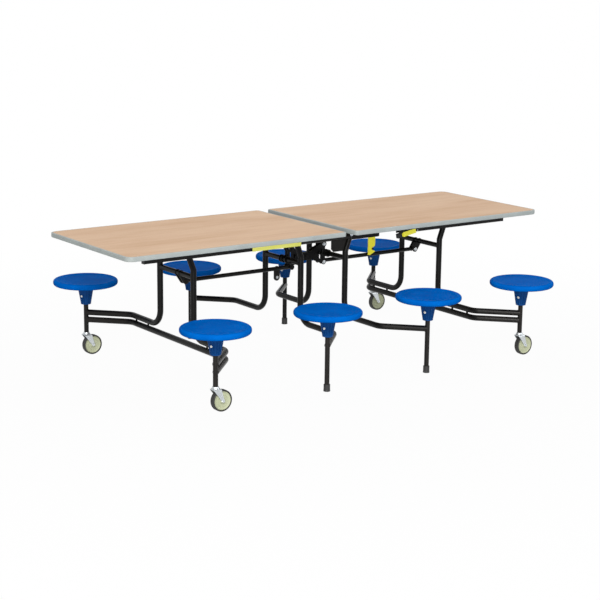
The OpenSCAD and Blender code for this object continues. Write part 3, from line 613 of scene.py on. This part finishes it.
def foldChannels(name, node, boxes, wall, fold, material):
    bm = bmesh.new()
    for low, high in boxes:
        w, h = (high.y - low.y) / mm, (high.z - low.z) / mm
        along = Matrix(((0, 0, 1, 0), (1, 0, 0, (low.y + high.y) / 2), (0, 1, 0, low.z), (0, 0, 0, 1)))
        prism(bm, channelSection(w, h, wall, fold), low.x / mm, high.x / mm, along)
    finishPiece(name, bm, material, bodyOf(node), (node,), bevel=0.4)


for half in ("left", "right"):
    foldChannels(half + "_rails_folded", half + "_rails", [corners(g) for g in solids(half + "_rails")],
                 railLook["wall"], railLook["fold"], blackSteel)
    foldChannels(half + "_rail_sleeve_moulded", half + "_rail_sleeve", [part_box(half + "_rail_sleeve")],
                 railLook["sleeveWall"], railLook["fold"] + railLook["sleeveWall"], yellowPlastic)
    for part in ("rail_caps", "pivot_brackets", "release_handle", "handle_tip"):
        softened(half + "_" + part, edgeRounds[part])


handleLook = {"pivot": (498, -260, 634), "droop": 10, "thick": 1.4, "reach": 13, "along": (-94, -50, -12),
              "low": -9.6, "high": (14, 14.5, 12)}


def pressCheeks(half):
    # sides of the pressed handle that lap over its rail and droop with it from the pivot
    look = handleLook
    side = 1 if half == "right" else -1
    x, y, z = look["pivot"]
    turn = (Matrix.Translation(Vector((side * x, side * y, z)) * mm)
            @ Matrix.Rotation(math.radians(-look["droop"] * side), 4, "Y")
            @ Matrix(((1, 0, 0, 0), (0, 0, 1, 0), (0, 1, 0, 0), (0, 0, 0, 1))))
    outline = ([(a * side, look["low"]) for a in look["along"]]
               + [(a * side, b) for a, b in zip(reversed(look["along"]), reversed(look["high"]))])
    bm = bmesh.new()
    for way in (-1, 1):
        low, high = sorted((way * look["reach"], way * (look["reach"] + look["thick"])))
        prism(bm, outline, low, high, turn)
    finishPiece(half + "_handle_cheeks", bm, yellowSteel, bodyOf(half + "_release_handle"), bevel=0.4)


for half in ("left", "right"):
    pressCheeks(half)
for part in ("latch_bracket", "latch_hook", "centre_plates", "rubber_feet"):
    softened(part, edgeRounds[part])


print("stage: bolts and screws")

boltLook = {"washer": 1.1, "chamfer": 0.577, "shankShare": 1.8, "apothem": 0.84, "nutShare": 0.7}


def hexHead(bm, apothem, height, matrix):
    # six sided head with its corners turned off
    count = 24
    rings = [[], [], []]
    for i in range(count):
        angle = tau * i / count
        share = (angle + tau / 12) % (tau / 6) - tau / 12
        reach = apothem / math.cos(share)
        drop = max(0, reach - 0.97 * apothem) * boltLook["chamfer"]
        for ring, r, h in zip(rings, (reach, reach, 0.93 * apothem), (0, height - drop, height)):
            ring.append(bm.verts.new(matrix @ (Vector((r * math.cos(angle), r * math.sin(angle), h)) * mm)))
    stitch(bm, rings)
    bm.faces.new(rings[2])
    bm.faces.new(list(reversed(rings[0])))


def dressBolts(node):
    # each bolt gets washers, a hexagon head, and a lock nut on its far end; near ends on the
    # left half and far ends on the right half are painted over with the frame
    zincEnds, paintedEnds = bmesh.new(), bmesh.new()
    for group in solids(node):
        low, high = corners(group)
        cx, cz = (low.x + high.x) / 2, (low.z + high.z) / 2
        headR = (high.x - low.x) / 2 / mm
        rim = [p for p in group if math.hypot(p.x - cx, p.z - cz) / mm > headR * 0.9]
        wide = sorted({round(p.y / mm, 2) for p in rim})
        shank = headR / boltLook["shankShare"]
        washer = boltLook["washer"]
        rest = wide[1] - wide[0] - washer
        for end, way in ((wide[1], -1), (wide[-2], 1)):
            spot = aim(Vector((cx, end * mm, cz)), (0, way, 0))
            painted = cx * way > -mm and node != "link_lug_bolt"
            bm = paintedEnds if painted else zincEnds
            lathe(bm, [(shank * 0.8, 0), (headR - 0.2, 0), (headR, 0.2), (headR, washer - 0.2),
                       (headR - 0.2, washer), (shank * 0.8, washer)], spot, 32, closed=True)
            lift = spot @ Matrix.Translation((0, 0, washer * mm))
            height = rest if way < 0 else rest * boltLook["nutShare"]
            hexHead(bm, headR * boltLook["apothem"], height, lift)
            if way > 0:
                lathe(bm, [(0, rest * 0.3), (headR * 0.74, rest * 0.3), (headR * 0.72, rest * 0.82),
                           (shank, rest), (shank * 0.8, rest * 0.9), (0, rest * 0.9)], lift, 32)
        along = Matrix.Translation((cx, 0, cz)) @ Matrix.Rotation(math.radians(-90), 4, "X")
        bare = shank - 0.05
        lathe(zincEnds, [(0, wide[1]), (bare, wide[1]), (bare, wide[-2]), (0, wide[-2])], along, 24)
    finishPiece(node + "_threaded", zincEnds, zinc, bodyOf(node), (node,), smoothAngle=25)
    if paintedEnds.verts:
        finishPiece(node + "_painted", paintedEnds, blackSteel, bodyOf(node), (node,), smoothAngle=25)


for node in ("left_outer_bolts", "right_outer_bolts", "centre_bolts", "link_lug_bolt"):
    dressBolts(node)


screwLook = {"head": 4.2, "height": 2.6, "slot": 1.1, "reach": 2.6, "depth": 1.3, "spread": 40,
             "pinRadius": 5}


def panScrew():
    # pan head with a cross recess, its crown at z 0 and facing +z
    look = screwLook
    r, h = look["head"], look["height"]
    a, b = look["slot"] / 2, look["reach"]
    cross = [(a, a), (a, b), (-a, b), (-a, a), (-b, a), (-b, -a), (-a, -a), (-a, -b), (a, -b), (a, -a),
             (b, -a), (b, a)]
    head, cutter = bmesh.new(), bmesh.new()
    lathe(head, [(0, -h), (r, -h), (r, 0.7 - h), (r * 0.93, -0.9), (r * 0.75, -0.3), (0, 0)], segments=32)
    prism(cutter, cross, -look["depth"], 1)
    things = []
    for bm, name in ((head, "panHead"), (cutter, "crossRecess")):
        bmesh.ops.recalc_face_normals(bm, faces=bm.faces)
        mesh = bpy.data.meshes.new(name)
        bm.to_mesh(mesh)
        bm.free()
        things.append(bpy.data.objects.new(name, mesh))
        bpy.context.scene.collection.objects.link(things[-1])
    cut = things[0].modifiers.new("cut", "BOOLEAN")
    cut.object = things[1]
    result = bpy.data.meshes.new_from_object(things[0].evaluated_get(bpy.context.evaluated_depsgraph_get()))
    for thing in things:
        bpy.data.objects.remove(thing)
    return result


panMesh = panScrew()


def dressScrews(node):
    # cross heads under the top, with the pins and the bolt of the same node
    bm = bmesh.new()
    for group in solids(node):
        low, high = corners(group)
        size = high - low
        if size.z > 1.5 * size.x:
            start = len(bm.verts)
            bm.from_mesh(panMesh)
            bm.verts.ensure_lookup_table()
            spot = Matrix.Translation(((low.x + high.x) / 2, (low.y + high.y) / 2, low.z))
            # each recess stands at its own angle
            turn = Matrix.Rotation(math.pi, 4, "X") @ Matrix.Rotation(low.x * screwLook["spread"], 4, "Z")
            bmesh.ops.transform(bm, matrix=spot @ turn, verts=bm.verts[start:])
            lathe(bm, [(0, 2), (2.4, 2), (2.4, 9), (0, 9)], spot, 16)
            continue
        r, reach = size.x / 2 / mm, size.y / mm
        spot = aim(Vector(((low.x + high.x) / 2, low.y, (low.z + high.z) / 2)), (0, 1, 0))
        if r > screwLook["pinRadius"]:
            half = [(0, 0), (r * 0.6, 0.1), (r * 0.93, 0.8), (r, 1.6), (r, 3), (r / 1.8, 3)]
        else:
            half = [(0, 0), (r - 0.5, 0), (r, 0.5)]
        lathe(bm, half + [(x, reach - y) for x, y in reversed(half)], spot, 32)
    finishPiece(node + "_crossed", bm, zinc, bodyOf(node), (node,), smoothAngle=30)


for half in ("left", "right"):
    dressScrews(half + "_board_screws")


print("stage: welds and plugs")

frameLook = {"inner": 135.5, "outer": 748, "legY": 152, "legR": 14.5, "legWall": 2, "postOffset": 165.5,
             "postY": 601, "postR": 11.75, "armZ": 219, "lowArmZ": 182, "lowArmR": 14.5, "armBendY": 431,
             "barZ": 511, "barR": 12.5, "bead": 2.1, "pivotOffset": 22, "legTop": 647}


def weldRound(bm, centre, direction, a, b, axis=up, steps=42):
    # bead round a tube of radius a that ends on a tube of radius b about the given axis
    along = Vector(direction).normalized()
    side = axis.cross(along).normalized()
    other = along.cross(side)
    points = []
    span = min(a, 0.96 * b)
    for i in range(steps):
        offset, rise = span * math.cos(tau * i / steps), a * math.sin(tau * i / steps)
        back = math.sqrt(max(b * b - offset * offset, 0))
        points.append((Vector(centre) + side * offset + other * rise - along * back) * mm)
    bead(bm, points, frameLook["bead"])


def legPlug(bm, x, y):
    look = frameLook
    r = look["legR"]
    bore = r - look["legWall"] - 0.3
    spot = Matrix.Translation(Vector((x, y, look["legTop"])) * mm)
    lathe(bm, [(0, -6), (bore, -6), (bore, 0), (r, 0), (r, 0.9), (r - 0.8, 1.7), (r * 0.6, 2.4), (0, 2.7)],
          spot, 32)


def weldFrames():
    look = frameLook
    sites = {"outer_left": [(-1, look["outer"])], "outer_right": [(1, look["outer"])],
             "centre": [(-1, look["inner"]), (1, look["inner"])]}
    for body, frames in sites.items():
        welds, plugs = bmesh.new(), bmesh.new()
        for side, fx in frames:
            for s in (-1, 1):
                post = Vector((side * (fx + look["postOffset"]), s * look["postY"], look["armZ"]))
                bend = Vector((side * fx, s * look["armBendY"], look["armZ"]))
                weldRound(welds, post, post - bend, look["legR"], look["postR"])
                if fx == look["outer"]:
                    drop = up * (look["armZ"] - look["lowArmZ"])
                    weldRound(welds, post - drop, post - bend, look["lowArmR"], look["postR"])
                leg = Vector((side * fx, s * look["legY"], look["barZ"]))
                weldRound(welds, leg, (0, s, 0), look["barR"], look["legR"])
                legPlug(plugs, side * (fx + look["pivotOffset"]), s * look["legY"])
        finishPiece("welds_" + body, welds, blackSteel, body, smoothAngle=60)
        finishPiece("leg_plugs_" + body, plugs, blackPlastic, body, smoothAngle=40)


weldFrames()


print("stage: casters")

casterLook = {"thick": 3, "fold": 6, "axleZ": 50, "trail": 30, "eye": 7.9, "front": 19, "back": 21,
              "plateZ": 103.5, "inside": 16, "tread": 7, "nutHalf": 5.6, "boltHead": 2.9, "nut": 2.2,
              "rises": (-7.8, -7.4, -6.4, -5, -3.5, -2, 2, 10, 20, 30, 40)}


def legSpan(height):
    # how far the fork leg reaches along x at a height, in mm from the swivel axis
    look = casterLook
    sill = look["axleZ"] - 2
    if height < sill:
        half = math.sqrt(max(look["eye"] ** 2 - (height - look["axleZ"]) ** 2, 0.01))
        return look["trail"] - half, look["trail"] + half
    rise = min((height - sill) / (look["plateZ"] - sill), 1)
    left, right = look["trail"] - look["eye"], look["trail"] + look["eye"]
    return left - (left + look["front"]) * rise ** 1.05, right + (look["back"] - right) * rise ** 0.9


def pressFork(n):
    # fork pressed from one strip: two tapered legs and a flat top with rounded folds
    look = casterLook
    node = "fork_%d" % n
    low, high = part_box(node)
    thick, fold = look["thick"], look["fold"]
    outer = look["inside"] + thick
    roof = look["plateZ"] + thick
    stem = Vector((low.x / mm + look["front"], (low.y + high.y) / 2 / mm, 0))
    # (across, height) and the outward way from one foot of the fork to the middle of its top
    path = [(-outer, look["axleZ"] + rise, -1, 0) for rise in look["rises"]] + [(-outer, roof - fold, -1, 0)]
    for turn in [math.radians(15 * k) for k in range(1, 7)]:
        c, s = math.cos(turn), math.sin(turn)
        path.append((fold - outer - fold * c, roof - fold + fold * s, -c, s))
    path += [(-y, z, -outY, outZ) for y, z, outY, outZ in reversed(path)]
    bm = bmesh.new()
    rings = []
    for y, z, outY, outZ in path:
        x0, x1 = legSpan(z)
        spots = [(x0, 0), (x1, 0), (x1, thick), (x0, thick)]
        rings.append([bm.verts.new((stem + Vector((x, y - outY * depth, z - outZ * depth))) * mm)
                      for x, depth in spots])
    stitch(bm, rings)
    bm.faces.new(rings[0])
    bm.faces.new(list(reversed(rings[-1])))
    finishPiece("fork_pressed_%d" % n, bm, zinc, node, (node,), bevel=0.6, smoothAngle=30)
    # lower raceway, swivel rivet, and the axle with its lock nut
    parts = bmesh.new()
    centre = Matrix.Translation(stem * mm)
    race = [(6, 0), (19.3, 0), (19.6, 0.8), (18.6, 2.4), (15, 3), (6, 3)]
    rivet = [(0, -7), (5, -7), (7, -6), (7.6, -3.2), (0, -3.2)]
    lathe(parts, [(x, roof + h) for x, h in race], centre, 48, closed=True)
    lathe(parts, [(x, roof + h) for x, h in rivet], centre, 32)
    axle = stem + Vector((look["trail"], 0, look["axleZ"]))
    for way in (-1, 1):
        spot = aim((axle + Vector((0, way * outer, 0))) * mm, (0, way, 0))
        lathe(parts, [(4, 0), (6.8, 0), (7, 0.3), (7, 0.8), (6.7, 1.0), (4, 1.0)], spot, 32, closed=True)
        lift = spot @ Matrix.Translation((0, 0, mm))
        hexHead(parts, look["nutHalf"], look["nut"] if way > 0 else look["boltHead"], lift)
        if way > 0:
            lathe(parts, [(0, 1.0), (5.1, 1.0), (4.9, 2.7), (3.8, 3.0), (3.2, 2.6), (0, 2.6)], lift, 32)
    lathe(parts, [(0, -outer), (3.9, -outer), (3.9, outer), (0, outer)],
          Matrix.Translation(axle * mm) @ Matrix.Rotation(math.pi / 2, 4, "X"), 24)
    finishPiece("fork_fittings_%d" % n, parts, zinc, node, smoothAngle=28)


def mouldWheel(n):
    # cream wheel centre with a raised ring and a boss, and its rubber tyre
    low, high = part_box("tyre_%d" % n)
    spot = aim((low + high) / 2, (0, 1, 0))
    r, w = (high.z - low.z) / 2 / mm, (high.y - low.y) / 2 / mm
    rimR = r - casterLook["tread"]
    face = [(4.6, w + 0.5), (9, w + 0.5), (10, w - 0.2), (12.4, w - 0.4), (13.4, w - 1.6), (14.4, w - 4.2),
            (16, w - 4.8), (25, w - 4.6), (26, w - 3.2), (28.6, w - 3.0), (29.6, w - 4.4),
            (rimR - 6, w - 4.2), (rimR - 4.4, w - 3.2), (rimR - 3, w - 1.0), (rimR - 1.8, w - 1.0),
            (rimR - 1.3, w - 4.2), (rimR, w - 4.4)]
    bm = bmesh.new()
    lathe(bm, face + [(x, -y) for x, y in reversed(face)], spot, 72, closed=True)
    finishPiece("wheel_moulding_%d" % n, bm, wheelCream, "wheel_%d" % n, ("wheel_%d" % n,), smoothAngle=34)
    tread = ([(rimR - 0.2, w - 4.2), (rimR, w - 2.4)] + arc(r - 5, w - 5, 5, 100, 20, 6)
             + [(r - 0.1, w - 8), (r, 2.2), (r - 0.7, 1.4), (r - 0.7, 0)])
    bm = bmesh.new()
    lathe(bm, tread + [(x, -y) for x, y in reversed(tread[:-1])], spot, 72, closed=True)
    tyre = "tyre_%d" % n
    finishPiece("tyre_moulding_%d" % n, bm, treadRubber, bodyOf(tyre), (tyre,), smoothAngle=40)


for n in range(1, 5):
    pressFork(n)
    mouldWheel(n)


print("stage: camera and light")

cameraLook = {"place": (-4.480, -6.193, 1.999), "yaw": 35.71, "down": 12.65, "roll": 0.66,
              "focalPixels": 1559.1, "framePixels": 600, "sensor": 36}


def placeCamera():
    look = cameraLook
    yaw, down, roll = (math.radians(look[key]) for key in ("yaw", "down", "roll"))
    ahead = Vector((math.sin(yaw) * math.cos(down), math.cos(yaw) * math.cos(down), -math.sin(down)))
    right = Vector((math.cos(yaw), -math.sin(yaw), 0))
    above = right.cross(ahead)
    side = math.cos(roll) * right + math.sin(roll) * above
    top = -math.sin(roll) * right + math.cos(roll) * above
    data = bpy.data.cameras.new("camera")
    data.sensor_fit = "HORIZONTAL"
    data.sensor_width = look["sensor"]
    data.lens = look["focalPixels"] / look["framePixels"] * look["sensor"]
    data.clip_end = 100
    camera = bpy.data.objects.new("camera", data)
    turn = Matrix((side, top, -ahead)).transposed().to_4x4()
    camera.matrix_world = Matrix.Translation(look["place"]) @ turn
    bpy.context.scene.collection.objects.link(camera)
    bpy.context.scene.camera = camera


lamps = [
    {"name": "keyLight", "place": (-5.6, -8.4, 6.6), "size": 3.2, "watts": 770, "colour": "#FFFDFA"},
    {"name": "lowLight", "place": (-6.2, -8.8, 1.3), "size": 2.6, "watts": 440, "colour": "#FFFEFC"},
    {"name": "fillLight", "place": (7.4, -5.6, 3.4), "size": 3.0, "watts": 110, "colour": "#FAFCFF"},
    {"name": "topLight", "place": (0.6, 1.6, 6.4), "size": 3.6, "watts": 100, "colour": "#FFFFFF"},
]
lampAim = Vector((0, 0, 0.4))


def placeLamps():
    for lamp in lamps:
        data = bpy.data.lights.new(lamp["name"], "AREA")
        data.shape = "SQUARE"
        data.size = lamp["size"]
        data.energy = lamp["watts"]
        data.color = linear(lamp["colour"])[:3]
        thing = bpy.data.objects.new(lamp["name"], data)
        # a lamp shines along its own -z
        thing.matrix_world = aim(Vector(lamp["place"]), Vector(lamp["place"]) - lampAim)
        bpy.context.scene.collection.objects.link(thing)


roomLook = {"room": "#F4F6F8", "strength": 0.36, "floor": "#B4B4B4", "floorGlow": 0.97, "floorHalf": 30,
            "shadowReach": (1.2, 3.2)}


def whiteRoom():
    # camera and clear rays see plain white, everything else a soft pale room
    world = bpy.data.worlds.new("whiteRoom")
    bpy.context.scene.world = world
    world.use_nodes = True
    tree = world.node_tree
    tree.nodes.clear()
    plain = add(tree, "Background", {"in:Color": (1, 1, 1, 1), "in:Strength": 1.0})
    room = add(tree, "Background",
               {"in:Color": linear(roomLook["room"]), "in:Strength": roomLook["strength"]})
    mixed = add(tree, "MixShader", None, {"0": clearRays(tree), "1": room.outputs[0], "2": plain.outputs[0]})
    out = tree.nodes.new("ShaderNodeOutputWorld")
    tree.links.new(mixed.outputs[0], out.inputs["Surface"])


def layFloor():
    mesh = bpy.data.meshes.new("floor")
    half = roomLook["floorHalf"]
    mesh.from_pydata([(-half, -half, 0), (half, -half, 0), (half, half, 0), (-half, half, 0)], [],
                     [(0, 1, 2, 3)])
    floor = bpy.data.objects.new("floor", mesh)
    bpy.context.scene.collection.objects.link(floor)
    material, tree, shader = startMaterial("paleFloor", 0.9)
    shader.inputs["Base Color"].default_value = linear(roomLook["floor"])
    shader.inputs["Specular IOR Level"].default_value = 0.0
    # clear rays see the lit floor mixed towards white, which leaves a soft shadow under the
    # table and plain white further out
    glow = add(tree, "Emission", {"in:Color": (1, 1, 1, 1), "in:Strength": 1.0})
    coords = add(tree, "TexCoord")
    reach = add(tree, "VectorMath", {"operation": "LENGTH"}, {"0": coords.outputs["Object"]})
    near, far = roomLook["shadowReach"]
    fade = add(tree, "MapRange", {"in:1": near, "in:2": far, "in:3": roomLook["floorGlow"], "in:4": 1.0},
               {"Value": reach.outputs["Value"]})
    share = add(tree, "Math", {"operation": "MULTIPLY"}, {"0": clearRays(tree), "1": fade.outputs[0]})
    mixed = add(tree, "MixShader", None,
                {"0": share.outputs[0], "1": shader.outputs[0], "2": glow.outputs[0]})
    # open from below, so that the underside of the table can be seen
    form = add(tree, "NewGeometry")
    clear = add(tree, "BsdfTransparent")
    seen = add(tree, "MixShader", None, {"0": form.outputs["Backfacing"], "1": mixed.outputs[0],
                                         "2": clear.outputs[0]})
    out = next(node for node in tree.nodes if node.type == "OUTPUT_MATERIAL")
    tree.links.new(seen.outputs[0], out.inputs["Surface"])
    mesh.materials.append(material)


placeCamera()
placeLamps()
whiteRoom()
layFloor()
bpy.context.scene.view_settings.view_transform = "Standard"

print("stage: done")
